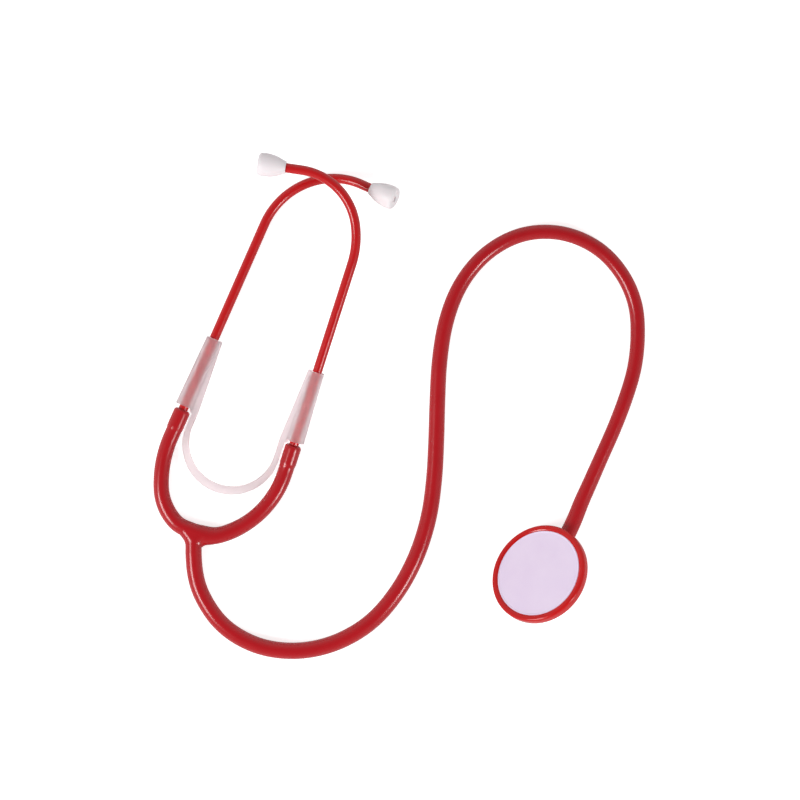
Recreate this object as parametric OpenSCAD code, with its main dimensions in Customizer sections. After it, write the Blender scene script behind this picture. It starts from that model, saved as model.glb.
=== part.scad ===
// Toy stethoscope lying on its back on a flat surface, in millimetres.
// X runs to the right and Y away from the viewer, as the toy is seen from above, and Z is up.
// The origin is on the surface, under the middle of the toy without its long tube.

/* [Tubing] */
// Diameter of the long tube where it leaves the fork
tube_fork_d = 7.5; // [6.5:0.1:8.5]
// Diameter of the long tube at the chestpiece
tube_chest_d = 6.4; // [5.6:0.1:7.2]
// Diameter of the two arms of the fork
arm_d = 6.9; // [6.2:0.1:7.6]
// Diameter of an arm where it is stretched over its ear tube
grip_d = 7.5; // [6.8:0.1:8.2]
// Length that an arm is stretched over its ear tube
grip_length = 10; // [7:0.5:13]
// Diameter of the sound channel in the tubing
channel_d = 3.6; // [2.8:0.1:3.9]
// Length of the stub that the long tube leaves the fork by
fork_stub = 7; // [6:0.5:9]

/* [Fork arms] */
// Bend radius of an arm at the fork
fork_bend_r = 12; // [10:0.5:14]
// Turn of the left arm at the fork, in degrees
left_fork_turn = 28.5; // [25:0.1:31]
// Turn of the right arm at the fork, in degrees
right_fork_turn = 35.5; // [32:0.5:39]
// Bend radius of the left arm along its lower half
left_low_r = 23.4; // [22:0.1:25]
// Turn of the left arm along its lower half, in degrees
left_low_turn = 38.8; // [36:0.2:41]
// Bend radius of the right arm along its lower half
right_low_r = 41.5; // [40:0.1:43]
// Turn of the right arm along its lower half, in degrees
right_low_turn = 48.3; // [46:0.1:51]
// Bend radius of the left arm along its upper half
left_high_r = 51.3; // [48:0.1:55]
// Turn of the left arm along its upper half, in degrees
left_high_turn = 25.5; // [23:0.1:27]
// Bend radius of the right arm along its upper half
right_high_r = 42; // [38:0.5:46]
// Turn of the right arm along its upper half, in degrees
right_high_turn = 9.1; // [7:0.1:12]

/* [Ear tubes] */
// Diameter of an ear tube
ear_tube_d = 4.2; // [3.8:0.1:4.6]
// Diameter of the sound channel in an ear tube
ear_channel_d = 2.6; // [2:0.1:3]
// Straight length of the left ear tube above its arm
left_straight = 89; // [84:0.5:94]
// Straight length of the right ear tube above its arm
right_straight = 83.4; // [78:0.2:89]
// First bend radius of the left ear tube
left_knee_r = 33.7; // [31:0.1:36]
// First bend of the left ear tube, in degrees
left_knee_turn = 44.6; // [41:0.2:48]
// First bend radius of the right ear tube
right_knee_r = 40.2; // [38:0.2:44]
// First bend of the right ear tube, in degrees
right_knee_turn = 24.2; // [22:0.2:28]
// Second bend radius of the left ear tube
left_top_r = 29.2; // [27:0.2:32]
// Second bend of the left ear tube, in degrees
left_top_turn = 49; // [46:0.1:52]
// Second bend radius of the right ear tube
right_top_r = 27.4; // [25:0.2:30]
// Second bend of the right ear tube, in degrees
right_top_turn = 75.4; // [71:0.2:78]
// Twist that lifts the end of the left ear tube off the surface, in degrees
left_top_lift = 22; // [20:0.5:22]
// Straight length between the last bend and the left ear tip
left_tube_end = 5.3; // [4:0.1:7]
// Straight length between the last bend and the right ear tip
right_tube_end = 7; // [5:0.1:9]

/* [Ear tips] */
// Length of an ear tip
tip_length = 12.2; // [11:0.1:13.5]
// Largest diameter of an ear tip
tip_d = 10.3; // [9.5:0.1:11]
// Diameter of an ear tip at its ear tube
tip_neck_d = 5.9; // [5.6:0.1:6.6]
// Length of ear tube inside an ear tip
tip_grip = 9; // [7:0.5:10]
// Diameter of the sound hole in an ear tip
tip_hole_d = 2.5; // [2:0.1:2.8]

/* [Yoke] */
// Length of a sleeve
sleeve_length = 32.4; // [28:0.2:36]
// Diameter of a sleeve at its top, towards the ear tip
sleeve_top_d = 6.6; // [6.2:0.1:7]
// Diameter of a sleeve at its foot, towards the arm
sleeve_foot_d = 7.4; // [6.8:0.1:7.4]
// Bare ear tube between a sleeve and its arm
sleeve_gap = 1.6; // [1.2:0.1:3]
// How far the fin stands off the ear tube's centre line at the sleeve's top
fin_top_reach = 4; // [3.6:0.1:4.6]
// How far the fin stands off the ear tube's centre line at the sleeve's foot
fin_reach = 6.8; // [6.4:0.1:7.4]
// Height of the fins and of the spring bow
bow_height = 3; // [2.4:0.1:3.6]
// Width of the spring bow where it joins the fins
bow_side_w = 2.6; // [2.2:0.1:3]
// Width of the spring bow at its middle
bow_middle_w = 3.9; // [3.2:0.1:4.4]
// Distance from the fork up to the middle of the bow's round part
bow_rise = 41.9; // [41:0.1:43]

/* [Chestpiece] */
// Outer diameter of the bezel ring
ring_d = 44.4; // [42:0.1:50]
// Visible diameter of the diaphragm inside the ring
face_d = 38.8; // [36:0.1:41]
// Height of the ring's lip above the diaphragm
lip_rise = 0.6; // [0.4:0.1:1]
// Depth of the ring below the diaphragm's face
ring_depth = 4; // [3.5:0.1:4.6]
// Thickness of the diaphragm
diaphragm_t = 0.6; // [0.4:0.1:0.8]
// Thickness of the ring's wall
ring_wall = 1.5; // [1.2:0.1:1.8]
// Thickness of the dish's floor
dish_floor = 1.6; // [1.2:0.1:1.8]
// Thickness of the dish's rim
dish_rim = 2; // [1.5:0.1:2.4]
// Diameter of the boss on the dish's back
boss_d = 18; // [16:0.5:20]
// Diameter of the boss at its foot
boss_foot_d = 16; // [14:0.5:17]
// Distance from the diaphragm's face to the spigot's centre line
spigot_depth = 7.9; // [7.7:0.1:8.6]
// Diameter of the spigot inside the tube
spigot_d = 4.2; // [3.8:0.1:4.4]
// Bare spigot between the boss and the tube
spigot_gap = 1; // [0.6:0.1:1.6]
// Length of the tube's last stretch, which is pushed over the spigot
tube_end_length = 14; // [13:0.5:14]

/* [Lie of the toy] */
// Turn of the headset towards the right, in degrees
headset_turn = 20.9; // [20:0.1:22]
// Slope of the left ear tube down to the surface, in degrees
left_slope = -0.6; // [-0.6:0.1:-0.2]
// Slope of the right ear tube over the left one, in degrees
right_slope = 7; // [6.8:0.1:7.4]
// Tilt of the chestpiece's face, in degrees
chest_tilt = 37; // [34:0.5:38]

/* [Hidden] */

$fn = 64;
fit = 0.05;       // gap all round where one piece turns or slides on another
seat_gap = 0.1;   // gap between flat faces that rest on each other
overrun = 1;      // how far a cut runs past the faces it opens
blend_fn = 32;    // sides of the balls that blend the fork

left = 0;
right = 1;

seam = 0.4;       // width of the collars that join the steps of a bent tube
seam_rise = 0.02; // height of those collars

// Number of steps up to each place along an arm and an ear tube
branch_steps = 1;
grip_step = 4;
arm_steps = 5;
ear_end_step = 3;
ear_steps = 4;

// The fork's branches
fork_at = [-77.1, -62.9];
fork_z = 3.9;             // height of the tubing's centre line on the surface
branch_start = 4;         // how far from the fork's centre an arm begins
slope_length = 3;         // length over which an arm bends up or down to its slope
swell_share = 0.2;        // share of the grip's length over which the arm swells
grip_edge = 0.8;          // rounding of the arm's end
arm_turns = [
    [[fork_bend_r, left_fork_turn], [left_low_r, left_low_turn], [left_high_r, left_high_turn]],
    [[fork_bend_r, right_fork_turn], [right_low_r, right_low_turn], [right_high_r, right_high_turn]]
];
slopes = [left_slope, right_slope];
function slope_r(side) = slope_length / abs(slopes[side]) * 180 / PI;
channel_r = channel_d / 2;
socket_r = ear_tube_d / 2 + fit;

// Ear tubes
straights = [left_straight, right_straight];
tube_ends = [left_tube_end, right_tube_end];
knees = [[left_knee_r, left_knee_turn, 0], [right_knee_r, right_knee_turn, 0]];
tops = [[left_top_r, left_top_turn, -left_top_lift], [right_top_r, right_top_turn, 0]];
tube_foot = grip_length - seat_gap;   // length of ear tube inside its arm

// Ear tip outline, as shares of its length and of its largest radius
tip_outline_share = [[0.18, 0.62], [0.4, 0.78], [0.6, 0.93], [0.72, 1], [0.82, 0.99],
                     [0.91, 0.93], [0.97, 0.82], [1, 0.66]];
tip_dimple_share = 0.97;              // depth that the sound hole's dished mouth starts at

// Yoke
bow_side_gap = 0.25;                  // gap between the bow's ends and the fins
bow_inner_rise = (bow_middle_w - bow_side_w) / 2;

// Where an arm's mouth is in the headset's own frame, seen from above, for the left way round
function arm_end(side, i = 0, way = 0, at = [-branch_start, 0]) =
    i == len(arm_turns[side]) ?
        at + (slope_r(side) * sin(abs(slopes[side])) + grip_length * cos(slopes[side]))
            * [-cos(way), sin(way)] :
        let (r = arm_turns[side][i][0], next = way + arm_turns[side][i][1])
        arm_end(side, i + 1, next, at + r * [sin(way) - sin(next), cos(way) - cos(next)]);
function lean(side) = arm_turns[side][0][1] + arm_turns[side][1][1] + arm_turns[side][2][1] - 90;

// How far the fins run down beside the arms, and where their inner edges end
mouths = [for (side = [left, right]) arm_end(side)];
legs = [for (side = [left, right])
    mouths[side].y - fin_reach * sin(lean(side)) - bow_rise];
fin_ends = [for (side = [left, right])
    mouths[side].x + fin_reach * cos(lean(side)) - legs[side] * sin(lean(side))];
leg_heights = [for (side = [left, right])
    fork_z + slope_r(side) * (1 - cos(slopes[side])) * sign(slopes[side])
    + (grip_length - legs[side]) * sin(slopes[side])];
bow_inner_r = -(fin_ends[left] + fin_ends[right]) / 2;
bow_outer_r = bow_inner_r + bow_side_w;
bow_x = (fin_ends[left] - fin_ends[right]) / 2;
bow_z = (leg_heights[left] + leg_heights[right]) / 2;
bow_roll = asin((leg_heights[right] - leg_heights[left]) / (bow_inner_r + bow_outer_r));

// Chestpiece
chest_at = [73.6, -80.4];
tilt_way = 140;                       // way that the face leans, from X towards Y
spigot_way = -73.6;                   // way of the spigot in the face's plane, from the lean
ring_r = ring_d / 2;
face_r = face_d / 2;
boss_r = boss_d / 2;
boss_foot_r = boss_foot_d / 2;
boss_edge = 1;                        // rounding of the boss's foot
ring_edge = 0.8;                      // rounding of the ring's outer edges
chest_z = (ring_r - ring_edge) * sin(chest_tilt) + ring_depth * cos(chest_tilt);
boss_depth = (chest_z - (boss_foot_r - boss_edge) * sin(chest_tilt)) / cos(chest_tilt);
ring_bore_r = ring_r - ring_wall;
dish_r = ring_bore_r - fit;
dish_top = -diaphragm_t - seat_gap;
dish_back = -ring_depth - seat_gap * 2;
hollow_r = dish_r - dish_rim;
tube_end_start = boss_r + spigot_gap; // distance from the boss's centre line to the tube's mouth
tube_end_reach = tube_end_start + tube_end_length;
socket_bottom = tube_end_reach - spigot_d; // where the tube's widened bore ends
spigot_end_gap = 0.5;                 // gap between the spigot's end and the bottom of that bore
spigot_reach = socket_bottom - spigot_end_gap;
sound_hole_r = 1.2;

// The long tube's free stretch, laid on the surface, from the fork to the chestpiece
tube_sides = 12;
free_points = [
    [-76.5, -81, 3.8], [-74, -90, 3.8], [-64.5, -104, 3.8], [-49.5, -113, 3.7], [-32, -115.5, 3.7],
    [-15, -112, 3.7], [0.5, -103, 3.7], [12, -90, 3.7], [20.5, -74.5, 3.6], [26, -57.5, 3.6],
    [28.5, -40.5, 3.6], [29.5, -22.5, 3.6], [30, -5, 3.6], [31, 12.5, 3.6], [34, 30, 3.5],
    [40.5, 46, 3.5], [52, 59.5, 3.5], [67.5, 67.5, 3.5], [85, 68, 3.5], [101, 61, 3.5],
    [111.5, 49.5, 3.4], [117, 36.5, 3.4], [118, 22.5, 3.4], [116.5, 8.5, 3.4], [112.5, -5, 3.4],
    [107.5, -18, 3.4], [101.5, -31.5, 3.4], [96, -44, 3.4], [93, -50.5, 3.7], [90.5, -57, 4.5]
];

// Turns a vector of the face's own frame into the toy's frame
function from_face(v) =
    let (a = [v.x * cos(spigot_way) - v.y * sin(spigot_way),
              v.x * sin(spigot_way) + v.y * cos(spigot_way), v.z],
         b = [a.x * cos(chest_tilt) + a.z * sin(chest_tilt), a.y,
              a.z * cos(chest_tilt) - a.x * sin(chest_tilt)])
    [b.x * cos(tilt_way) - b.y * sin(tilt_way), b.x * sin(tilt_way) + b.y * cos(tilt_way), b.z];

tube_start = [fork_at.x, fork_at.y - fork_stub, fork_z];
tube_start_way = [0, -1, 0];
tube_stop = [chest_at.x, chest_at.y, chest_z] + from_face([tube_end_reach, 0, -spigot_depth]);
tube_stop_way = from_face([-1, 0, 0]);
tube_route = concat([tube_start], free_points, [tube_stop]);
tube_last = len(tube_route) - 1;

function unit(v) = v / norm(v);

// Direction of the long tube at point i of its route
function tube_way(i) =
    i == 0 ? tube_start_way :
    i == tube_last ? tube_stop_way :
    unit(unit(tube_route[i] - tube_route[i - 1]) + unit(tube_route[i + 1] - tube_route[i]));

// Radius of the long tube, which tapers evenly along its route
function tube_r(i) = (tube_fork_d + (tube_chest_d - tube_fork_d) * i / tube_last) / 2;

// One ring of corners round point i of the route
function tube_ring(i) =
    let (way = tube_way(i), side = unit(cross([0, 0, 1], way)), up = cross(way, side))
    [for (k = [0 : tube_sides - 1])
        tube_route[i] + tube_r(i) * (cos(360 * k / tube_sides) * side + sin(360 * k / tube_sides) * up)];

// A run is a list of steps: [length, 0, roll] goes straight and [radius, turn, roll] bends.
// Each step first rolls about the run's own line, and a bend then turns towards X.
module after_step(step) {
    rotate([0, 0, step[2]])
        if (step[1] == 0)
            translate([0, 0, step[0]]) children();
        else
            translate([step[0], 0, 0])
                rotate([0, step[1], 0])
                    translate([-step[0], 0, 0])
                        children();
}

// Places its children at the end of the first steps of a run
module along(run, steps, first = 0) {
    if (first < steps)
        after_step(run[first]) along(run, steps, first + 1) children();
    else
        children();
}

// A round bar along one step, which stops short of the step's ends where it is told to
module bar(step, r, short_start, short_end) {
    start = short_start ? seam / 4 : 0;
    end = short_end ? seam / 4 : 0;
    rotate([0, 0, step[2]])
        if (step[1] == 0)
            translate([0, 0, start])
                cylinder(h = step[0] - start - end, r = r);
        else
            translate([step[0], 0, 0])
                rotate([90, 0, 180])
                    rotate([0, 0, turn_over(start, step[0])])
                        rotate_extrude(angle = step[1] - turn_over(start + end, step[0]))
                            translate([step[0], 0])
                                circle(r = r);
}

// Degrees that a bend turns over a short length
function turn_over(length, radius) = length / radius * 180 / PI;

// A round bar along some steps of a run. A thin collar joins each step to the next, and a capped
// bar, which cuts a channel, has a collar at both of its ends too.
module bars(run, r, from_step, to_step, capped = false) {
    last = to_step - 1;
    for (i = [from_step : last])
        along(run, i) bar(run[i], r, capped || i > from_step, capped || i < last);
    first_collar = capped ? from_step : from_step + 1;
    last_collar = capped ? to_step : last;
    for (i = [first_collar : 1 : last_collar])
        along(run, i)
            translate([0, 0, -seam / 2])
                cylinder(h = seam, r = r + seam_rise);
}

// Steps of an arm from the fork up to the end of its grip
function arm_run(side) =
    let (turns = arm_turns[side], slope = slopes[side], roll = slope > 0 ? -90 : 90)
    [[turns[0][0], turns[0][1], 0], [turns[1][0], turns[1][1], 0], [turns[2][0], turns[2][1], 0],
     [slope_r(side), abs(slope), roll], [grip_length, 0, -roll]];

// Steps of an ear tube from its foot inside the arm up to its end in the ear tip
function ear_run(side) =
    [[tube_foot + straights[side], 0, 0], knees[side], tops[side], [tube_ends[side] + tip_grip, 0, 0]];

// Puts the fork's own frame in its place: X across the headset and Y up along it
module headset() {
    translate([fork_at.x, fork_at.y, 0])
        rotate([0, 0, -headset_turn])
            children();
}

// Puts the start of one arm in its place, with its line as Z and the headset's inside as X
module arm_start(side) {
    headset()
        mirror([side, 0, 0])
            translate([-branch_start, 0, fork_z])
                rotate([-90, 0, 90])
                    children();
}

// Puts the mouth of one arm in its place, with the ear tube's line as Z
module mouth(side) {
    arm_start(side) along(arm_run(side), arm_steps) children();
}

// Puts the foot of one ear tube in its place, inside the arm
module ear_foot(side) {
    mouth(side) translate([0, 0, -tube_foot]) children();
}

// Puts the diaphragm's face in its place, with its outward way as Z and the spigot's way as X
module face() {
    translate([chest_at.x, chest_at.y, chest_z])
        rotate([0, 0, tilt_way])
            rotate([0, chest_tilt, 0])
                rotate([0, 0, spigot_way])
                    children();
}

// The fork, where the two arms and the long tube meet in one soft moulding
module fork() {
    stub_r = tube_fork_d / 2;
    arm_r = arm_d / 2;
    web = arm_r + fit;
    color("firebrick")
        difference() {
            union() {
                for (side = [left, right]) {
                    arm_start(side) bars(arm_run(side), arm_r, 0, branch_steps);
                    arm_start(side) translate([0, 0, -branch_start]) cylinder(h = branch_start, r = arm_r);
                }
                translate([fork_at.x, fork_at.y, fork_z])
                    rotate([90, 0, 0])
                        cylinder(h = fork_stub, r = stub_r);
                hull() {
                    translate([fork_at.x, fork_at.y, fork_z])
                        sphere(r = stub_r, $fn = blend_fn);
                    translate([fork_at.x, fork_at.y - arm_r, fork_z])
                        sphere(r = stub_r - fit, $fn = blend_fn);
                    for (side = [left, right])
                        arm_start(side) sphere(r = web, $fn = blend_fn);
                }
            }
            for (side = [left, right]) {
                arm_start(side) bars(arm_run(side), channel_r, 0, branch_steps, capped = true);
                arm_start(side) translate([0, 0, -branch_start]) cylinder(h = branch_start, r = channel_r);
            }
            translate([fork_at.x, fork_at.y, fork_z])
                rotate([90, 0, 0])
                    cylinder(h = fork_stub + overrun, r = channel_r);
        }
}

// One arm of the fork, with the socket that its ear tube is pushed into
module arm(side) {
    run = arm_run(side);
    arm_r = arm_d / 2;
    grip_r = grip_d / 2;
    swell = grip_length * swell_share;
    color("firebrick")
        arm_start(side)
            difference() {
                union() {
                    bars(run, arm_r, branch_steps, grip_step);
                    along(run, grip_step)
                        rotate_extrude()
                            polygon([
                                [0, -seam], [arm_r + seam_rise, -seam], [grip_r, swell],
                                [grip_r, grip_length - grip_edge], [grip_r - grip_edge, grip_length],
                                [0, grip_length]
                            ]);
                }
                bars(run, channel_r, branch_steps, grip_step, capped = true);
                along(run, grip_step) cylinder(h = grip_length + overrun, r = socket_r);
            }
}

module left_arm() {
    arm(left);
}

module right_arm() {
    arm(right);
}

// The long tube's free stretch
module main_tube() {
    corners = [for (i = [0 : tube_last]) each tube_ring(i)];
    n = tube_sides;
    sides = [for (i = [0 : tube_last - 1], k = [0 : n - 1])
        [i * n + k, i * n + (k + 1) % n, (i + 1) * n + (k + 1) % n, (i + 1) * n + k]];
    start_face = [[for (k = [n - 1 : -1 : 0]) k]];
    stop_face = [[for (k = [0 : n - 1]) tube_last * n + k]];
    color("firebrick")
        polyhedron(corners, concat(start_face, sides, stop_face), convexity = 10);
}

// The long tube's last stretch, pushed over the chestpiece's spigot
module tube_end() {
    color("firebrick")
        face()
            translate([tube_end_start, 0, -spigot_depth])
                rotate([0, 90, 0])
                    difference() {
                        cylinder(h = tube_end_length, d = tube_chest_d);
                        translate([0, 0, -overrun])
                            cylinder(h = socket_bottom - tube_end_start + overrun, r = spigot_d / 2 + fit);
                        cylinder(h = tube_end_length + overrun, r = channel_r);
                    }
}

// The round part of the yoke, which bends when the ear tubes are pulled apart
module spring_bow() {
    color("mistyrose")
        headset()
            translate([bow_x, bow_rise, bow_z])
                rotate([0, -bow_roll, 0])
                    translate([0, 0, -bow_height / 2])
                        linear_extrude(height = bow_height)
                            difference() {
                                translate([0, -bow_inner_rise]) circle(r = bow_outer_r);
                                translate([0, bow_inner_rise]) circle(r = bow_inner_r);
                                translate([-bow_outer_r - overrun, -bow_side_gap])
                                    square([(bow_outer_r + overrun) * 2, bow_outer_r * 2]);
                            }
}

// One tapered sleeve of the yoke, with the fin that runs down into the spring bow
module sleeve(side) {
    top = sleeve_gap + sleeve_length;
    color("mistyrose")
        mouth(side)
            difference() {
                union() {
                    translate([0, 0, sleeve_gap])
                        cylinder(h = sleeve_length, d1 = sleeve_foot_d, d2 = sleeve_top_d);
                    translate([0, bow_height / 2, 0])
                        rotate([90, 0, 0])
                            linear_extrude(height = bow_height)
                                polygon([
                                    [0, sleeve_gap], [0, top], [fin_top_reach, top],
                                    [fin_reach, sleeve_gap],
                                    [fin_reach, -legs[side]], [fin_reach - bow_side_w, -legs[side]],
                                    [fin_reach - bow_side_w, sleeve_gap]
                                ]);
                }
                translate([0, 0, -overrun])
                    cylinder(h = top + overrun * 2, r = ear_tube_d / 2 + fit);
            }
}

module left_sleeve() {
    sleeve(left);
}

module right_sleeve() {
    sleeve(right);
}

// One bent ear tube, from inside its arm to inside its ear tip
module ear_tube(side) {
    run = ear_run(side);
    color("firebrick")
        ear_foot(side)
            difference() {
                bars(run, ear_tube_d / 2, 0, ear_steps);
                bars(run, ear_channel_d / 2, 0, ear_steps, capped = true);
            }
}

module left_ear_tube() {
    ear_tube(left);
}

module right_ear_tube() {
    ear_tube(right);
}

// One soft ear tip
module ear_tip(side) {
    tip_r = tip_d / 2;
    hole_r = tip_hole_d / 2;
    grip_r = ear_tube_d / 2 + fit;
    outline = [for (p = tip_outline_share) [tip_r * p[1], tip_length * p[0]]];
    color("whitesmoke")
        ear_foot(side)
            along(ear_run(side), ear_end_step)
                translate([0, 0, tube_ends[side]])
                    rotate_extrude()
                        polygon(concat(
                            [[grip_r, 0], [tip_neck_d / 2, 0]],
                            outline,
                            [[hole_r, tip_length * tip_dimple_share], [hole_r, tip_grip + seat_gap],
                             [grip_r, tip_grip + seat_gap]]));
}

module left_ear_tip() {
    ear_tip(left);
}

module right_ear_tip() {
    ear_tip(right);
}

// The dish that carries the diaphragm, with its boss and the spigot for the tube
module chest_body() {
    color("firebrick")
        face()
            difference() {
                union() {
                    translate([0, 0, dish_back])
                        cylinder(h = dish_top - dish_back, r = dish_r);
                    rotate_extrude()
                        polygon([
                            [0, dish_back], [boss_r, dish_back],
                            [boss_foot_r, boss_edge - boss_depth], [boss_foot_r - boss_edge, -boss_depth],
                            [0, -boss_depth]
                        ]);
                    translate([0, 0, -spigot_depth])
                        rotate([0, 90, 0])
                            cylinder(h = spigot_reach, d = spigot_d);
                }
                translate([0, 0, dish_back + dish_floor])
                    cylinder(h = dish_top - dish_back, r = hollow_r);
                translate([0, 0, -spigot_depth])
                    cylinder(h = spigot_depth, r = sound_hole_r);
                translate([0, 0, -spigot_depth])
                    rotate([0, 90, 0])
                        cylinder(h = spigot_reach + overrun, r = sound_hole_r);
            }
}

// The ring that holds the diaphragm on the dish
module bezel_ring() {
    color("orangered")
        face()
            rotate_extrude()
                polygon([
                    [ring_bore_r, -ring_depth], [ring_r - ring_edge, -ring_depth],
                    [ring_r, ring_edge - ring_depth], [ring_r, lip_rise - ring_edge],
                    [ring_r - ring_edge, lip_rise], [face_r + ring_edge, lip_rise],
                    [face_r, fit], [ring_bore_r, fit]
                ]);
}

// The thin disc under the ring's lip
module diaphragm() {
    color("lavender")
        face()
            translate([0, 0, -diaphragm_t])
                cylinder(h = diaphragm_t, r = dish_r);
}

fork();
left_arm();
right_arm();
main_tube();
tube_end();
spring_bow();
left_sleeve();
right_sleeve();
left_ear_tube();
right_ear_tube();
left_ear_tip();
right_ear_tip();
chest_body();
bezel_ring();
diaphragm();
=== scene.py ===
"""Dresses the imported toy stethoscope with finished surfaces, and lays, lights and frames it."""

import logging
import math
from collections.abc import Callable, Iterable, Sequence
from dataclasses import dataclass, field
from enum import Enum

import bmesh
import bpy
import numpy as np
from mathutils import Matrix, Vector


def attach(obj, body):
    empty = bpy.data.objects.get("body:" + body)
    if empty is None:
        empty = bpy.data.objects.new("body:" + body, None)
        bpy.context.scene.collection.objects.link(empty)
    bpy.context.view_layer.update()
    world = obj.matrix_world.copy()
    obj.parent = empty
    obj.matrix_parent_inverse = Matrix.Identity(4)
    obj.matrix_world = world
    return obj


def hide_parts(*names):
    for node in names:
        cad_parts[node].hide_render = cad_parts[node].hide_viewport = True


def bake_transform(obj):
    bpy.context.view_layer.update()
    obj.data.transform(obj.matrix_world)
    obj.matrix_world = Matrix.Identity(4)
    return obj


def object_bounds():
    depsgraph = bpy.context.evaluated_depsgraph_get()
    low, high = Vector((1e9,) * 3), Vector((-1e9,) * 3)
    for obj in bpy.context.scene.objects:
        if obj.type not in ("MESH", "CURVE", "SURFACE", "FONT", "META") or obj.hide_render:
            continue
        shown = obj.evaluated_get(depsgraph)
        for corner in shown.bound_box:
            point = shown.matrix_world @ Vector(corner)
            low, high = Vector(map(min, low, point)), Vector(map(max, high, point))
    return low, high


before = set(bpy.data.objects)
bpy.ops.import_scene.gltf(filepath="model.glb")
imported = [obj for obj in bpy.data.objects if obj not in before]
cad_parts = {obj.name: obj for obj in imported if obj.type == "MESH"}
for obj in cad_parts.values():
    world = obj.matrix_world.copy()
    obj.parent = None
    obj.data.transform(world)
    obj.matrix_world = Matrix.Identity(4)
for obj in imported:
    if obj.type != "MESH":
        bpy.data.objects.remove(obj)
CAD_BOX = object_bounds()

LOG = logging.getLogger("stethoscope")
# One millimetre in Blender's metres
MM = 0.001
# Points of a smooth curve between two that it passes
CURVE_POINTS = 40
# The three layers of mixing that give such a point from four: first knot, and knots that a mix spans
CURVE_LAYERS = ((0, 1), (0, 2), (1, 1))
# Angles at which a rounded rim has its rings
RIM_ANGLES = tuple(math.radians(degrees) for degrees in range(0, 91, 15))
# Distances in millimetres that count as none: between corners, on an edge, from a plane, from an axis
SAME_CORNER, ON_EDGE, ON_PLANE, ON_AXIS = 1e-4, 1e-5, 1e-9, 1e-6
# The squared length that a stretch of a line counts with, at the least
LEAST_STRETCH = 1e-12
# The middle part of a noise pattern's values, which hold nearly all of it
NOISE_LOW, NOISE_HIGH = 0.3, 0.7


class Side(Enum):
    """The two sides of the headset, as the toy is seen from above."""

    LEFT = "left"
    RIGHT = "right"


def turned(axis: str, degrees: float) -> Matrix:
    """A turn about one axis."""
    return Matrix.Rotation(math.radians(degrees), 4, axis)


def moved(x: float, y: float, z: float) -> Matrix:
    """A move, in the units of the mesh."""
    return Matrix.Translation((x, y, z))


def looking(at: Vector, way: Vector) -> Matrix:
    """A place whose Z runs along a way and whose X stays level.

    Args:
        at: Where the place is.
        way: The direction of its Z.

    Returns:
        The place as a matrix.
    """
    along = way.normalized()
    across = Vector((0, 0, 1)).cross(along).normalized()
    up = along.cross(across)
    return Matrix.Translation(at) @ Matrix((across, up, along)).transposed().to_4x4()


def heading(place: Matrix, x: float, y: float, z: float) -> Vector:
    """A direction of a place's own frame, as seen from outside it."""
    return place.to_3x3() @ Vector((x, y, z))


def ease(low: float, high: float, value: float) -> float:
    """A smooth step from 0 at low to 1 at high."""
    share = min(1.0, max(0.0, (value - low) / (high - low)))
    return share * share * (3 - 2 * share)


def rim_fall(rounding: float, from_end: float) -> float:
    """How much a rounded rim takes off a tube's radius, at a distance from the tube's end."""
    short = rounding - min(from_end, rounding)
    return rounding - math.sqrt(max(0.0, rounding ** 2 - short ** 2))


def between(one: Vector, two: Vector, low: float, high: float, at: float) -> Vector:
    """The point that is one where at is low, and two where at is high."""
    return one * ((high - at) / (high - low)) + two * ((at - low) / (high - low))


def smooth_through(points: Sequence[Vector], spacing: float) -> list[Vector]:
    """Lays a smooth curve through points.

    Args:
        points: The points that the curve passes.
        spacing: Distance between the points of the result.

    Returns:
        Evenly spaced points along the curve, with both ends kept.
    """
    padded = [2 * points[0] - points[1], *points, 2 * points[-1] - points[-2]]
    fine: list[Vector] = []
    for corners in zip(padded, padded[1:], padded[2:], padded[3:]):
        knots = [0.0]
        for one, two in zip(corners, corners[1:]):
            knots.append(knots[-1] + math.sqrt((two - one).length))
        for k in range(CURVE_POINTS):
            at = knots[1] + (knots[2] - knots[1]) * k / CURVE_POINTS
            layer = corners
            for first, span in CURVE_LAYERS:
                layer = [between(one, two, knots[first + i], knots[first + i + span], at)
                         for i, (one, two) in enumerate(zip(layer, layer[1:]))]
            fine.append(layer[0])
    fine.append(points[-1].copy())
    travel = np.concatenate(([0.0], np.cumsum([(q - p).length for p, q in zip(fine, fine[1:])])))
    marks = np.linspace(0, travel[-1], max(2, round(travel[-1] / spacing) + 1))
    table = np.array(fine)
    return [Vector([float(np.interp(m, travel, table[:, i])) for i in range(3)]) for m in marks]


def distance_to_line(points: np.ndarray, line: Sequence[np.ndarray]) -> np.ndarray:
    """Measures how far points are from a line of short straight stretches.

    Args:
        points: The points, one a row.
        line: The ends of the stretches, in order.

    Returns:
        The distance of each point.
    """
    best = np.full(len(points), np.inf)
    for a, b in zip(line, line[1:]):
        way = b - a
        share = np.clip((points - a) @ way / max(way @ way, LEAST_STRETCH), 0, 1)
        best = np.minimum(best, np.linalg.norm(points - a - share[:, None] * way, axis=1))
    return best


def distance_to_sheet(points: np.ndarray, corners: np.ndarray) -> np.ndarray:
    """Measures how far points are from a level triangle.

    Args:
        points: The points, one a row.
        corners: The triangle's corners, one a row.

    Returns:
        The distance of each point.
    """
    rim = distance_to_line(points, [*corners, corners[0]])
    inside = np.ones(len(points), bool)
    turn = np.sign(np.cross((corners[1] - corners[0])[:2], (corners[2] - corners[1])[:2]))
    for a, b in zip(corners, np.roll(corners, -1, axis=0)):
        inside &= turn * np.cross((b - a)[:2], points[:, :2] - a[:2]) >= 0
    return np.where(inside, np.abs(points[:, 2] - corners[0][2]), rim)


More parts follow.
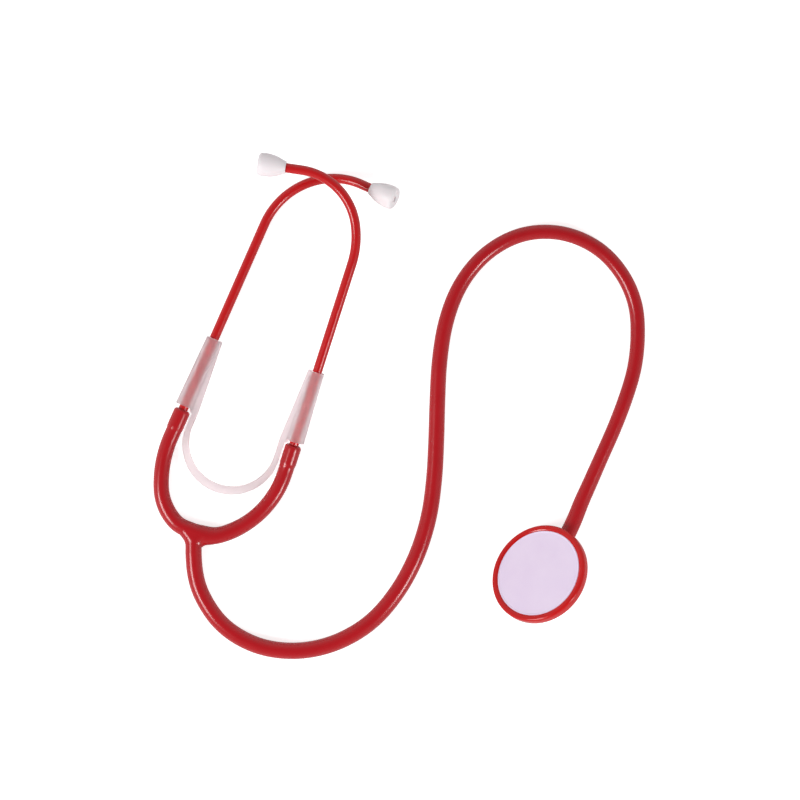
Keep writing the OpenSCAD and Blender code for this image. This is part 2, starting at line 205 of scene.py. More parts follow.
def soft_least(one: np.ndarray, two: np.ndarray, blend: np.ndarray) -> np.ndarray:
    """The lesser of two distances, with a fillet of about the size of blend where they meet."""
    share = np.clip(0.5 + 0.5 * (two - one) / blend, 0, 1)
    return two + (one - two) * share - blend * share * (1 - share)


@dataclass(frozen=True)
class Step:
    """One step of a bent tube: straight where turn is 0, and otherwise a bend.

    Each step first rolls about the tube's own line, and a bend then turns towards X.

    Attributes:
        size: Length of a straight step, or radius of a bend, in millimetres.
        turn: Angle of the bend in degrees.
        roll: Roll before the step in degrees.
    """

    size: float
    turn: float = 0.0
    roll: float = 0.0

    @property
    def length(self) -> float:
        """Length of the step along the tube's line."""
        return self.size * math.radians(self.turn) if self.turn else self.size

    def place(self, share: float) -> Matrix:
        """Finds a place on the step, from where the step starts.

        Args:
            share: How far along the step the place is, from 0 to 1.

        Returns:
            The place, with the step's line as Z.
        """
        rolled = turned("Z", self.roll)
        if not self.turn:
            return rolled @ moved(0, 0, self.size * share)
        out = moved(self.size, 0, 0)
        return rolled @ out @ turned("Y", self.turn * share) @ out.inverted()


@dataclass(frozen=True)
class Run:
    """The line of a bent tube.

    Attributes:
        start: The place where it starts, with the tube's line as Z.
        steps: Its steps, in order.
    """

    start: Matrix
    steps: tuple[Step, ...]

    @property
    def length(self) -> float:
        """Length of the whole run."""
        return sum(step.length for step in self.steps)

    def place(self, at: float) -> Matrix:
        """Finds the place at a distance along the run, free of the steps' rolls.

        Args:
            at: Distance along the run. Past its last step the tube goes on straight.

        Returns:
            The place, whose frame doesn't twist from one step to the next.
        """
        if at < 0:
            return self.start @ moved(0, 0, at)
        place, roll = self.start, 0.0
        for step in self.steps:
            roll += step.roll
            if at <= step.length:
                return place @ step.place(at / step.length) @ turned("Z", -roll)
            at -= step.length
            place = place @ step.place(1)
        return place @ moved(0, 0, at) @ turned("Z", -roll)

    def marks(self, start: float, stop: float, spacing: float) -> list[float]:
        """Evenly spaced distances from start to stop."""
        count = max(1, math.ceil(abs(stop - start) / spacing))
        return [start + (stop - start) * k / count for k in range(count + 1)]


@dataclass(frozen=True)
class Station:
    """One ring of a tube.

    Attributes:
        place: Where the ring is, with the tube's line as Z.
        radius: Its radius in millimetres.
    """

    place: Matrix
    radius: float


class Workpiece:
    """A mesh in millimetres that bmesh operators shape until it is a piece of the toy."""

    def __init__(self) -> None:
        """Starts an empty mesh with a UV map."""
        self.bm = bmesh.new()
        self.uv = self.bm.loops.layers.uv.new("UVMap")

    def sweep(self, stations: Sequence[Station], sides: int, hollow: bool = False) -> None:
        """Draws a ring along stations.

        Args:
            stations: The rings, in order. A hollow tube's rings go out and come back inside.
            sides: Corners of each ring.
            hollow: Whether the last ring joins the first, and otherwise both ends are closed.
        """
        first = stations[0]
        made = bmesh.ops.create_circle(
            self.bm, cap_ends=False, segments=sides, radius=first.radius, matrix=first.place)
        start = list(dict.fromkeys(edge for vert in made["verts"] for edge in vert.link_edges))
        edges, travel = start, 0.0
        for before, after in zip(stations, stations[1:]):
            geom = bmesh.ops.extrude_edge_only(self.bm, edges=edges)["geom"]
            verts = [g for g in geom if isinstance(g, bmesh.types.BMVert)]
            ring = set(verts)
            grow = after.radius / before.radius
            change = after.place @ Matrix.Diagonal((grow, grow, 1, 1)) @ before.place.inverted()
            bmesh.ops.transform(self.bm, matrix=change, verts=verts)
            gap = (after.place.translation - before.place.translation).length
            reach = travel + math.hypot(gap, after.radius - before.radius)
            faces = {face for vert in verts for face in vert.link_faces}
            back = (before.place.inverted(), after.place.inverted())
            self._lay_uv(faces, ring, back, (travel, reach))
            travel = reach
            edges = [g for g in geom if isinstance(g, bmesh.types.BMEdge) and ring.issuperset(g.verts)]
        if hollow:
            bmesh.ops.bridge_loops(self.bm, edges=start + edges)
        else:
            bmesh.ops.edgeloop_fill(self.bm, edges=start)
            bmesh.ops.edgeloop_fill(self.bm, edges=edges)

    def _lay_uv(self, faces: Iterable[bmesh.types.BMFace], ring: set[bmesh.types.BMVert],
                back: tuple[Matrix, Matrix], travels: tuple[float, float]) -> None:
        """Unrolls one band of a tube: U goes once round it and V is millimetres along it.

        Args:
            faces: The band's faces.
            ring: The corners of the band's later ring.
            back: Takes a point into the frame of the earlier and of the later ring.
            travels: Distances of the two rings along the tube.
        """
        half_way = 0.5
        for face in faces:
            spots = []
            for loop in face.loops:
                later = loop.vert in ring
                spot = back[later] @ loop.vert.co
                spots.append((math.atan2(spot.y, spot.x) / math.tau % 1, travels[later]))
            wraps = max(s[0] for s in spots) - min(s[0] for s in spots) > half_way
            for loop, (around, along) in zip(face.loops, spots):
                loop[self.uv].uv = (around + (wraps and around < half_way), along)

    def turn_outline(self, outline: Sequence[tuple[float, float, float]], place: Matrix,
                     steps: int = 128, segments: int = 5) -> None:
        """Turns an outline about the Z of its place, as a lathe does. The mesh is empty before.

        Args:
            outline: Corners as (radius, height, rounding). An outline that starts and ends
                on the axis is closed by the axis.
            place: Where the turned shape goes.
            steps: Steps of the full turn.
            segments: Segments of each rounding.
        """
        corners = [self.bm.verts.new((r, 0, z)) for r, z, _ in outline]
        self.bm.faces.new(corners)
        for corner, (_, _, bend) in zip(corners, outline):
            if bend:
                bmesh.ops.bevel(self.bm, geom=[corner], offset=bend, offset_type="OFFSET",
                                segments=segments, profile=0.5, affect="VERTICES", material=-1)
        face = next(f for f in self.bm.faces if all(abs(v.co.y) < ON_PLANE for v in f.verts))
        profile = list(face.edges)
        bmesh.ops.delete(self.bm, geom=[face], context="FACES_ONLY")
        axis = [e for e in profile if all(abs(v.co.x) < ON_AXIS for v in e.verts)]
        profile = [e for e in profile if e not in axis]
        bmesh.ops.delete(self.bm, geom=axis, context="EDGES_FACES")
        verts = list(dict.fromkeys(v for e in profile for v in e.verts))
        bmesh.ops.spin(self.bm, geom=verts + profile, cent=(0, 0, 0), axis=(0, 0, 1),
                       dvec=(0, 0, 0), angle=math.tau, steps=steps, use_merge=True,
                       use_normal_flip=False, use_duplicate=False)
        bmesh.ops.transform(self.bm, matrix=place, verts=list(self.bm.verts))
        bmesh.ops.remove_doubles(self.bm, verts=list(self.bm.verts), dist=SAME_CORNER)
        bmesh.ops.dissolve_degenerate(self.bm, dist=ON_EDGE, edges=list(self.bm.edges))

    def plate(self, corners: Sequence[tuple[float, float]], thickness: float, place: Matrix) -> None:
        """Raises a flat outline to a plate.

        Args:
            corners: The outline in the X and Y of its place.
            thickness: Height of the plate, half of it on each side of the outline.
            place: Where the plate goes.
        """
        verts = [self.bm.verts.new((x, y, -thickness / 2)) for x, y in corners]
        face = self.bm.faces.new(verts)
        geom = bmesh.ops.extrude_face_region(self.bm, geom=[face], use_keep_orig=True)["geom"]
        raised = [g for g in geom if isinstance(g, bmesh.types.BMVert)]
        bmesh.ops.translate(self.bm, vec=(0, 0, thickness), verts=raised)
        bmesh.ops.transform(self.bm, matrix=place, verts=verts + raised)

    def fuse(self, voxel: float) -> None:
        """Joins everything so far into one even skin.

        Args:
            voxel: Width of the skin's faces.
        """
        bmesh.ops.recalc_face_normals(self.bm, faces=list(self.bm.faces))
        mesh = bpy.data.meshes.new("rough")
        self.bm.to_mesh(mesh)
        rough = bpy.data.objects.new("rough", mesh)
        bpy.context.scene.collection.objects.link(rough)
        skin = rough.modifiers.new("skin", "REMESH")
        skin.mode, skin.voxel_size, skin.adaptivity = "VOXEL", voxel, 0.0
        ready = rough.evaluated_get(bpy.context.evaluated_depsgraph_get())
        fused = bpy.data.meshes.new_from_object(ready)
        self.bm.clear()
        self.bm.from_mesh(fused)
        self.uv = self.bm.loops.layers.uv.verify()
        bpy.data.objects.remove(rough)
        for spare in (mesh, fused):
            bpy.data.meshes.remove(spare)

    def relax(self, times: int, factor: float = 0.5) -> None:
        """Softens the skin's edges.

        Args:
            times: How often each corner moves towards the middle of its neighbours.
            factor: How much of the way it goes.
        """
        for _ in range(times):
            bmesh.ops.smooth_vert(self.bm, verts=list(self.bm.verts), factor=factor,
                                  use_axis_x=True, use_axis_y=True, use_axis_z=True)

    def settle(self, distance: Callable[[np.ndarray], np.ndarray], times: int,
               probe: float = 0.01, least_slope: float = 0.2) -> None:
        """Moves every corner onto the surface where a distance is zero.

        Args:
            distance: Gives the distance of each point from the surface.
            times: How often the corners move.
            probe: Step over which the distance's slope is measured.
            least_slope: Squared slope below which a move gets no longer.
        """
        spots = np.array([v.co for v in self.bm.verts])
        for _ in range(times):
            slope = np.stack([(distance(spots + probe * way) - distance(spots - probe * way)) / (2 * probe)
                              for way in np.eye(3)], axis=1)
            size = np.maximum((slope ** 2).sum(1), least_slope)
            spots -= (distance(spots) / size)[:, None] * slope
        for vert, spot in zip(self.bm.verts, spots):
            vert.co = spot

    def ream(self, place: Matrix, radius: float, low: float, high: float, reach: float = 0.35) -> None:
        """Trues a bore that the joining has left uneven.

        Args:
            place: The bore's line as Z.
            radius: The bore's radius.
            low: Where the bore starts along the line.
            high: Where it ends.
            reach: How far outside the bore a corner still belongs to it.
        """
        back = place.inverted()
        for vert in self.bm.verts:
            spot = back @ vert.co
            off = math.hypot(spot.x, spot.y)
            if low < spot.z < high and off < radius + reach:
                grow = radius / off
                vert.co = place @ Vector((spot.x * grow, spot.y * grow, spot.z))

    def cut(self, at: Vector, way: Vector) -> None:
        """Cuts off what lies past a plane and closes the cut.

        Args:
            at: A point on the plane.
            way: The direction in which everything goes.
        """
        geom = [*self.bm.verts, *self.bm.edges, *self.bm.faces]
        made = bmesh.ops.bisect_plane(self.bm, geom=geom, dist=ON_EDGE, plane_co=at, plane_no=way,
                                      clear_outer=True, clear_inner=False)
        rim = [g for g in made["geom_cut"] if isinstance(g, bmesh.types.BMEdge)]
        bmesh.ops.holes_fill(self.bm, edges=rim, sides=0)

    def finish(self, name: str, finish: "Finish", sharp: float = 50.0) -> bpy.types.Object:
        """Makes the mesh a piece of the toy, at the origin and in metres.

        Args:
            name: Name of the piece.
            finish: Its finish.
            sharp: Angle in degrees past which an edge stays crisp.

        Returns:
            The piece.
        """
        bmesh.ops.recalc_face_normals(self.bm, faces=list(self.bm.faces))
        for edge in self.bm.edges:
            edge.smooth = not (len(edge.link_faces) == 2
                               and edge.calc_face_angle(0.0) > math.radians(sharp))
        for face in self.bm.faces:
            face.smooth = True
        bmesh.ops.scale(self.bm, vec=(MM, MM, MM), verts=list(self.bm.verts))
        mesh = bpy.data.meshes.new(name)
        self.bm.to_mesh(mesh)
        self.bm.free()
        mesh.materials.append(finish.material())
        piece = bpy.data.objects.new(name, mesh)
        bpy.context.scene.collection.objects.link(piece)
        LOG.info("%s: %d faces, finish %s", name, len(mesh.polygons), finish.slot)
        return piece


def as_linear(colour: Sequence[float]) -> tuple[float, float, float, float]:
    """Turns a colour as a screen shows it (sRGB) into the linear numbers that a shader reads.

    Args:
        colour: Red, green and blue from 0 to 255.

    Returns:
        Red, green, blue and alpha from 0 to 1.
    """
    shares = [c / 255 for c in colour]
    red, green, blue = (s / 12.92 if s < 0.04045 else ((s + 0.055) / 1.055) ** 2.4 for s in shares)
    return red, green, blue, 1.0


class Graph:
    """The nodes of a material or of the world, wired by short calls."""

    def __init__(self, owner: bpy.types.Material | bpy.types.World) -> None:
        """Starts with the owner's plain shader.

        Args:
            owner: The material or the world.
        """
        owner.use_nodes = True
        self.tree = owner.node_tree
        self.shader = next(n for n in self.tree.nodes if n.type in ("BSDF_PRINCIPLED", "BACKGROUND"))

    def add(self, kind: str, inputs: dict[str | int, object] | None = None,
            **settings: object) -> bpy.types.Node:
        """Adds a node.

        Args:
            kind: The node's type without its prefix.
            inputs: Values, or sockets to wire, by the input's name or number.
            settings: The node's own settings.

        Returns:
            The node.
        """
        node = self.tree.nodes.new("ShaderNode" + kind)
        for name, value in settings.items():
            setattr(node, name, value)
        for name, value in (inputs or {}).items():
            if isinstance(value, bpy.types.NodeSocket):
                self.tree.links.new(value, node.inputs[name])
            else:
                node.inputs[name].default_value = value
        return node

    def wire(self, source: bpy.types.NodeSocket, target: bpy.types.NodeSocket) -> None:
        """Wires one socket to another."""
        self.tree.links.new(source, target)

    def noise(self, where: bpy.types.NodeSocket, scale: float, detail: float = 3.0) -> bpy.types.NodeSocket:
        """A noise pattern's value."""
        return self.add("TexNoise", {"Vector": where, "Scale": scale, "Detail": detail}).outputs["Fac"]

    def blend(self, share: bpy.types.NodeSocket, one: Sequence[float], two: Sequence[float],
              low: float = 0.35, high: float = 0.65) -> bpy.types.NodeSocket:
        """Mixes two colours by a share.

        Args:
            share: The socket that gives the share.
            one: The colour where the share is at most low, from 0 to 255.
            two: The colour where it is at least high.
            low: Where the mix starts.
            high: Where it ends.

        Returns:
            The mixed colour's socket.
        """
        ramp = self.add("ValToRGB", {"Fac": share})
        first, last = ramp.color_ramp.elements
        first.position, first.color = low, as_linear(one)
        last.position, last.color = high, as_linear(two)
        return ramp.outputs["Color"]

    def spread(self, share: bpy.types.NodeSocket, low: float, high: float) -> bpy.types.NodeSocket:
        """A number from low to high as a noise pattern goes from its low values to its high ones."""
        return self.stretch(share, NOISE_LOW, NOISE_HIGH, low, high)

    def stretch(self, value: bpy.types.NodeSocket, low: float, high: float, start: float,
                end: float) -> bpy.types.NodeSocket:
        """A number that goes from start to end as the value goes from low to high."""
        return self.add("MapRange", {"Value": value, "From Min": low, "From Max": high,
                                     "To Min": start, "To Max": end}).outputs["Result"]

    def combine(self, operation: str, one: bpy.types.NodeSocket,
                two: bpy.types.NodeSocket | float) -> bpy.types.NodeSocket:
        """A number worked out from two, such as their product for MULTIPLY."""
        return self.add("Math", {0: one, 1: two}, operation=operation).outputs["Value"]


@dataclass(frozen=True)
class Finish:
    """How one kind of surface looks.

    Attributes:
        slot: The record's material slot.
        colour: The lighter of its two colours as a screen shows it, from 0 to 255.
        shade: The darker one, which it passes into here and there.
        roughness: Its lowest and highest roughness.
        mottle: How fine the patches of colour are.
        sheen_detail: How many times finer the patches of roughness are.
        grain: How fine the grain is.
        grain_detail: How many finer layers the grain has.
        grain_depth: Depth of the grain in metres.
        gloss: How strongly it reflects.
        softness: Share of the light that scatters below the surface.
        soft_radius: How far red, green and blue scatter, as shares of soft_reach.
        soft_reach: How far light scatters, in metres.
        clarity: Share of the light that passes through.
        ior: Its index of refraction.
        drawn: Whether it has the faint lines along it that a drawn tube has.
        drawn_scale: How fine those lines are round the tube and along it.
    """

    slot: str
    colour: tuple[int, int, int]
    shade: tuple[int, int, int]
    roughness: tuple[float, float] = (0.15, 0.25)
    mottle: float = 60.0
    sheen_detail: float = 4.0
    grain: float = 1500.0
    grain_detail: float = 2.0
    grain_depth: float = 0.000005
    gloss: float = 0.5
    softness: float = 0.0
    soft_radius: tuple[float, float, float] = (1.0, 0.9, 0.9)
    soft_reach: float = 0.0015
    clarity: float = 0.0
    ior: float = 1.5
    drawn: bool = False
    drawn_scale: tuple[float, float, float] = (40.0, 0.02, 1.0)

    def material(self) -> bpy.types.Material:
        """Makes the finish a material, once.

        Returns:
            The material.
        """
        name = self.slot + "_finish"
        if name in bpy.data.materials:
            return bpy.data.materials[name]
        made = bpy.data.materials.new(name)
        graph = Graph(made)
        shader = graph.shader
        where = graph.add("TexCoord")
        place = where.outputs["Object"]
        mottle = graph.noise(place, self.mottle)
        graph.wire(graph.blend(mottle, self.shade, self.colour), shader.inputs["Base Color"])
        sheen = graph.noise(place, self.mottle * self.sheen_detail)
        graph.wire(graph.spread(sheen, *self.roughness), shader.inputs["Roughness"])
        grain = graph.noise(place, self.grain, self.grain_detail)
        if self.drawn:
            lines = graph.add("Mapping", {"Vector": where.outputs["UV"], "Scale": self.drawn_scale})
            drawn = graph.noise(lines.outputs["Vector"], 1.0, self.grain_detail)
            grain = graph.combine("ADD", grain, drawn)
        bump = graph.add("Bump", {"Height": grain, "Distance": self.grain_depth, "Strength": 1.0})
        graph.wire(bump.outputs["Normal"], shader.inputs["Normal"])
        shader.inputs["IOR"].default_value = self.ior
        shader.inputs["Specular IOR Level"].default_value = self.gloss
        if self.softness:
            shader.inputs["Subsurface Weight"].default_value = self.softness
            shader.inputs["Subsurface Radius"].default_value = self.soft_radius
            shader.inputs["Subsurface Scale"].default_value = self.soft_reach
        shader.inputs["Transmission Weight"].default_value = self.clarity
        return made


SOFT_TUBING = Finish("soft_red_tubing", (180, 15, 26), (174, 12, 23), (0.2, 0.24), grain_depth=0.0000005,
                     drawn=True)
HARD_TUBE = Finish("hard_red_tube", (196, 17, 22), (191, 14, 19), (0.17, 0.21), grain_depth=0.0000005,
                   drawn=True)
EAR_TIP = Finish("white_ear_tip", (245, 238, 240), (240, 232, 235), (0.38, 0.5), softness=0.5)
FROSTED = Finish("frosted_yoke", (242, 232, 234), (237, 227, 229), (0.52, 0.6), clarity=0.9, ior=1.33)
RING = Finish("bright_red_ring", (202, 20, 20), (195, 17, 18), (0.14, 0.2), gloss=0.36)
DISH = Finish("red_dish", (180, 18, 26), (172, 15, 23), (0.26, 0.36), gloss=0.35)
DIAPHRAGM = Finish("pale_diaphragm", (241, 225, 248), (238, 221, 246), (0.5, 0.62), mottle=90.0)


@dataclass
class Headset:
    """Where the tubing's arms, the yoke and the ear tubes run, in millimetres and degrees.

    Attributes:
        fork_at: The middle of the fork.
        turn: How far the headset is turned clockwise, seen from above.
        branch_start: How far beside the fork's middle an arm starts.
        slope_length: Length of the bend that sets an ear tube's slope.
        grip_length: Length of an arm's last stretch, which grips the ear tube.
        tube_foot: How far an ear tube reaches into its arm.
        tip_grip: How far it reaches into its ear tip.
        slopes: How steeply each ear tube rises.
        arm_bends: The bends of each arm.
        straights: The straight stretch of each ear tube past its arm.
        bends: The two bends of each ear tube.
        tube_ends: The straight stretch of each ear tube before its tip.
    """

    fork_at: tuple[float, float, float] = (-77.1, -62.9, 3.9)
    turn: float = 20.9
    branch_start: float = 4.0
    slope_length: float = 3.0
    grip_length: float = 10.0
    tube_foot: float = 9.9
    tip_grip: float = 9.0
    slopes: dict[Side, float] = field(default_factory=lambda: {Side.LEFT: -0.6, Side.RIGHT: 7.0})
    arm_bends: dict[Side, tuple[Step, ...]] = field(default_factory=lambda: {
        Side.LEFT: (Step(12.0, 28.5), Step(23.4, 38.8), Step(51.3, 25.5)),
        Side.RIGHT: (Step(12.0, 35.5), Step(41.5, 48.3), Step(42.0, 9.1))})
    straights: dict[Side, float] = field(default_factory=lambda: {Side.LEFT: 89.0, Side.RIGHT: 83.4})
    bends: dict[Side, tuple[Step, Step]] = field(default_factory=lambda: {
        Side.LEFT: (Step(33.7, 44.6), Step(29.2, 49.0, -22.0)),
        Side.RIGHT: (Step(40.2, 24.2), Step(27.4, 75.4))})
    tube_ends: dict[Side, float] = field(default_factory=lambda: {Side.LEFT: 5.3, Side.RIGHT: 7.0})

    def place(self) -> Matrix:
        """The headset's own frame: X across it and Y up along it, from the fork on the surface."""
        x, y, _ = self.fork_at
        return moved(x, y, 0) @ turned("Z", -self.turn)

    def arm_run(self, side: Side) -> Run:
        """Finds the line of one arm.

        Args:
            side: The side of the headset.

        Returns:
            The line from the fork to the arm's mouth.
        """
        mirror = Matrix.Scale(-1 if side is Side.RIGHT else 1, 4, (1, 0, 0))
        start = (self.place() @ mirror @ moved(-self.branch_start, 0, self.fork_at[2])
                 @ turned("Z", 90) @ turned("X", -90))
        slope = self.slopes[side]
        roll = -90.0 if slope > 0 else 90.0
        rise = Step(self.slope_length / math.radians(abs(slope)), abs(slope), roll)
        return Run(start, (*self.arm_bends[side], rise, Step(self.grip_length, 0.0, -roll)))

    def mouth(self, side: Side) -> Matrix:
        """The place of one arm's mouth, with the ear tube's line as Z and the inside as X."""
        run = self.arm_run(side)
        return run.place(run.length)

    def ear_run(self, side: Side) -> Run:
        """Finds the line of one ear tube.

        Args:
            side: The side of the headset.

        Returns:
            The line from the tube's foot in the arm to its end in the ear tip.
        """
        start = self.mouth(side) @ moved(0, 0, -self.tube_foot)
        first = Step(self.tube_foot + self.straights[side])
        last = Step(self.tube_ends[side] + self.tip_grip)
        return Run(start, (first, *self.bends[side], last))


HEADSET = Headset()


@dataclass
class Tubing:
    """The soft red moulding: a fork with two arms, and the long tube with its end.

    Sizes are in millimetres.

    Attributes:
        fork_arm_r: Radius of an arm at the fork.
        arm_r: Radius of an arm further on.
        arm_taper: Length over which the one becomes the other.
        grip_r: Radius of an arm over its ear tube.
        grip_swell: Where the swell to that radius starts and ends, from the ear tube's foot.
        socket_r: Bore round an ear tube and round the spigot.
        channel_r: Bore elsewhere.
        stub_r: Radius of the fork's stub, which the long tube goes on from.
        chest_r: Radius of the tube's end over the spigot.
        stub: Length of the stub.
        mouth_rounding: Rounding of an arm's mouth.
        mouth_chamfer: Chamfer of the bore at a mouth.
        end_rounding: Rounding of the tube's end.
        end_chamfer_width: How much the chamfer widens the bore at the tube's end.
        end_wall: Where the even wall of the tube's end starts, and how many rings it has.
        fillets: Fillets between the stub and the left and the right arm.
        fillet_band: How far beside the fork's middle the one fillet has passed into the other.
        least_fillet: Share of the fillet that is left at the top and bottom of the fork.
        web_sink: How far the web between the arms stays below their skin.
        fork_overhang: How far past its first bend an arm belongs to the fork.
        fork_margin: How far the rough fork runs past its cuts.
        field_margin: How far the fork's lines run past them.
        field_step: Distance between the points of those lines.
        fork_voxel: Width of the faces of the fork's skin.
        fork_times: How often the fork's skin is softened, and how often it is settled.
        rough_play: How much slimmer than the stub its rough shape is.
        rough_step: Distance between the rings of the rough arms.
        crotch: How much the fork is filled out between its arms.
        crotch_at: Where the filling is thickest, across the headset from the fork's middle.
        crotch_reach: How far it reaches from there.
        arm_step: Distance between the rings of an arm.
        swell_step: Distance between them on the swell.
        grip_step: Distance between them on the grip.
        channel_step: Distance between them in the channel.
        swell_rings: Where the arm's rings end, those of the swell start and end, and those of
            the grip start, from the ear tube's foot.
        rim_gap: Distance from the grip's last ring to the rounded rim.
        bend_margins: How far two points of an arm stay from the fork and from the foot; they are worked out
            but not used.
        lead: Length of the long tube's straight start.
        last_lead: Length of its straight end.
        route_step: Distance between the points of its line.
        route_times: How often its line is smoothed.
        fork_sides: Corners of the rough fork's rings.
        tube_sides: Corners of the long tube's rings.
        arm_sides: Corners of the rings of an arm and of the tube's end.
        thickness: Radius of the long tube at shares of its length.
        free_points: The long tube's route from the stub to the chestpiece.
    """

    fork_arm_r: float = 3.58
    arm_r: float = 3.4
    arm_taper: float = 14.0
    grip_r: float = 3.66
    grip_swell: tuple[float, float] = (-0.1, 1.7)
    socket_r: float = 2.15
    channel_r: float = 1.8
    stub_r: float = 3.58
    chest_r: float = 3.55
    stub: float = 7.0
    mouth_rounding: float = 1.3
    mouth_chamfer: float = 0.3
    end_rounding: float = 0.7
    end_chamfer_width: float = 0.25
    end_wall: tuple[float, int] = (1.5, 14)
    fillets: tuple[float, float] = (1.1, 2.8)
    fillet_band: float = 2.0
    least_fillet: float = 0.1
    web_sink: float = 0.02
    fork_overhang: float = 3.5
    fork_margin: float = 2.0
    field_margin: float = 4.0
    field_step: float = 0.5
    fork_voxel: float = 0.4
    fork_times: int = 6
    rough_play: float = 0.1
    rough_step: float = 1.0
    crotch: float = 0.65
    crotch_at: float = 5.4
    crotch_reach: float = 5.9
    arm_step: float = 0.9
    swell_step: float = 0.3
    grip_step: float = 1.0
    channel_step: float = 1.2
    swell_rings: tuple[float, float, float, float] = (-2.0, -1.8, 3.0, 4.0)
    rim_gap: float = 0.5
    bend_margins: tuple[float, float] = (0.5, 1.0)
    lead: float = 3.0
    last_lead: float = 0.6
    route_step: float = 1.2
    route_times: int = 12
    fork_sides: int = 32
    tube_sides: int = 40
    arm_sides: int = 48
    thickness: tuple[tuple[float, float], ...] = (
        (0.0, 3.58), (0.1, 3.65), (0.2, 3.64), (0.3, 3.62), (0.4, 3.54), (0.5, 3.42), (0.58, 3.3),
        (0.66, 3.18), (0.93, 3.2), (0.965, 3.36), (1.0, 3.55))
    free_points: tuple[tuple[float, float, float], ...] = (
        (-76.5, -81, 3.8), (-74, -90, 3.8), (-64.5, -104, 3.8), (-49.5, -113, 3.7), (-32, -115.5, 3.7),
        (-15, -112, 3.7), (0.5, -103, 3.7), (12, -90, 3.7), (20.5, -74.5, 3.6), (26, -57.5, 3.6),
        (28.5, -40.5, 3.6), (29.5, -22.5, 3.6), (30, -5, 3.6), (31, 12.5, 3.6), (34, 30, 3.5),
        (40.5, 46, 3.5), (52, 59.5, 3.5), (67.5, 67.5, 3.5), (85, 68, 3.5), (101, 61, 3.5),
        (111.5, 49.5, 3.4), (117, 36.5, 3.4), (118, 22.5, 3.4), (116.5, 8.5, 3.4), (112.5, -5, 3.4),
        (107.5, -18, 3.4), (101.5, -31.5, 3.4), (96, -44, 3.4), (93, -50.5, 3.7), (90.5, -57, 4.5))

    def build(self, chest: "Chestpiece") -> None:
        """Makes the long tube first, then its end, the fork and the arms.

        Args:
            chest: The chestpiece that the tube runs to.
        """
        self.build_long_tube(chest)
        self.build_tube_end(chest)
        self.build_fork()
        for side in Side:
            self.build_arm(side)

    def route(self, chest: "Chestpiece") -> list[Vector]:
        """Finds the long tube's line.

        Args:
            chest: The chestpiece that the tube runs to.

        Returns:
            Nearly evenly spaced points from the fork's stub to the chestpiece.
        """
        x, y, z = HEADSET.fork_at
        start = Vector((x, y - self.stub, z))
        stop = chest.tube_stop()
        out = heading(chest.place(), 1, 0, 0)
        lead = [start, start + Vector((0, -self.lead, 0))]
        points = [*lead, *(Vector(p) for p in self.free_points), stop + out * self.last_lead, stop]
        line = smooth_through(points, self.route_step)
        for _ in range(self.route_times):
            evened = [(a + 2 * b + c) / 4 for a, b, c in zip(line[2:], line[3:], line[4:-2])]
            line = [*line[:3], *evened, *line[-3:]]
        return line

    def build_long_tube(self, chest: "Chestpiece") -> None:
        """Lays the free tube, which tapers from the fork to the chestpiece.

        Args:
            chest: The chestpiece that the tube runs to.
        """
        line = self.route(chest)
        ways = [Vector((0, -1, 0)), *[b - a for a, b in zip(line, line[2:])],
                heading(chest.place(), -1, 0, 0)]
        last = len(line) - 1
        shares, radii = zip(*self.thickness)
        stations = [Station(looking(at, way), float(np.interp(i / last, shares, radii)))
                    for i, (at, way) in enumerate(zip(line, ways))]
        work = Workpiece()
        work.sweep(stations, self.tube_sides)
        tube = work.finish("long_tube", SOFT_TUBING)
        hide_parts("main_tube")
        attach(tube, "tubing")
        length = sum((b - a).length for a, b in zip(line, line[1:])) * MM
        LOG.info("long_tube: %.4f m long", length)

    def build_tube_end(self, chest: "Chestpiece") -> None:
        """Makes the tube's last stretch, stretched a little over the spigot.

        Args:
            chest: The chestpiece that carries the spigot.
        """
        foot = chest.place() @ moved(chest.tube_end_start, 0, -chest.spigot_depth) @ turned("Y", 90)
        length = chest.tube_end_length
        wall_start, wall_rings = self.end_wall
        marks = [*(self.end_rounding * (1 - math.cos(angle)) for angle in RIM_ANGLES),
                 *np.linspace(wall_start, length, wall_rings)]
        outside = [(at, self.chest_r - rim_fall(self.end_rounding, at)) for at in marks]
        socket = length - 2 * self.socket_r
        inside = [(length, self.channel_r), (socket, self.channel_r), (socket, self.socket_r),
                  (self.mouth_chamfer, self.socket_r), (0.0, self.socket_r + self.end_chamfer_width)]
        work = Workpiece()
        work.sweep([Station(foot @ moved(0, 0, at), radius) for at, radius in [*outside, *inside]],
                   self.arm_sides, hollow=True)
        end = work.finish("tube_mouth", SOFT_TUBING)
        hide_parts("tube_end")
        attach(end, "tubing")

    def fork_field(self) -> Callable[[np.ndarray], np.ndarray]:
        """Describes the fork's skin, with the arms, the stub and their web blended.

        Returns:
            A function from points to their distances from the skin.
        """
        sides = {}
        for side in Side:
            run = HEADSET.arm_run(side)
            marks = run.marks(0, self.arm_branch(run) + self.field_margin, self.field_step)
            sides[side] = [np.array(run.place(at).translation) for at in marks]
        arms = [*reversed(sides[Side.LEFT]), *sides[Side.RIGHT]]
        middle = np.array(HEADSET.fork_at)
        x, y, z = HEADSET.fork_at
        across = np.array(heading(HEADSET.place(), 1, 0, 0))
        stub = [np.array((x, y - self.fork_arm_r, z)), np.array((x, y - self.stub - self.field_margin, z))]
        web = np.array([sides[Side.LEFT][0], sides[Side.RIGHT][0], stub[0]])
        band = (x - self.fillet_band, x + self.fillet_band)

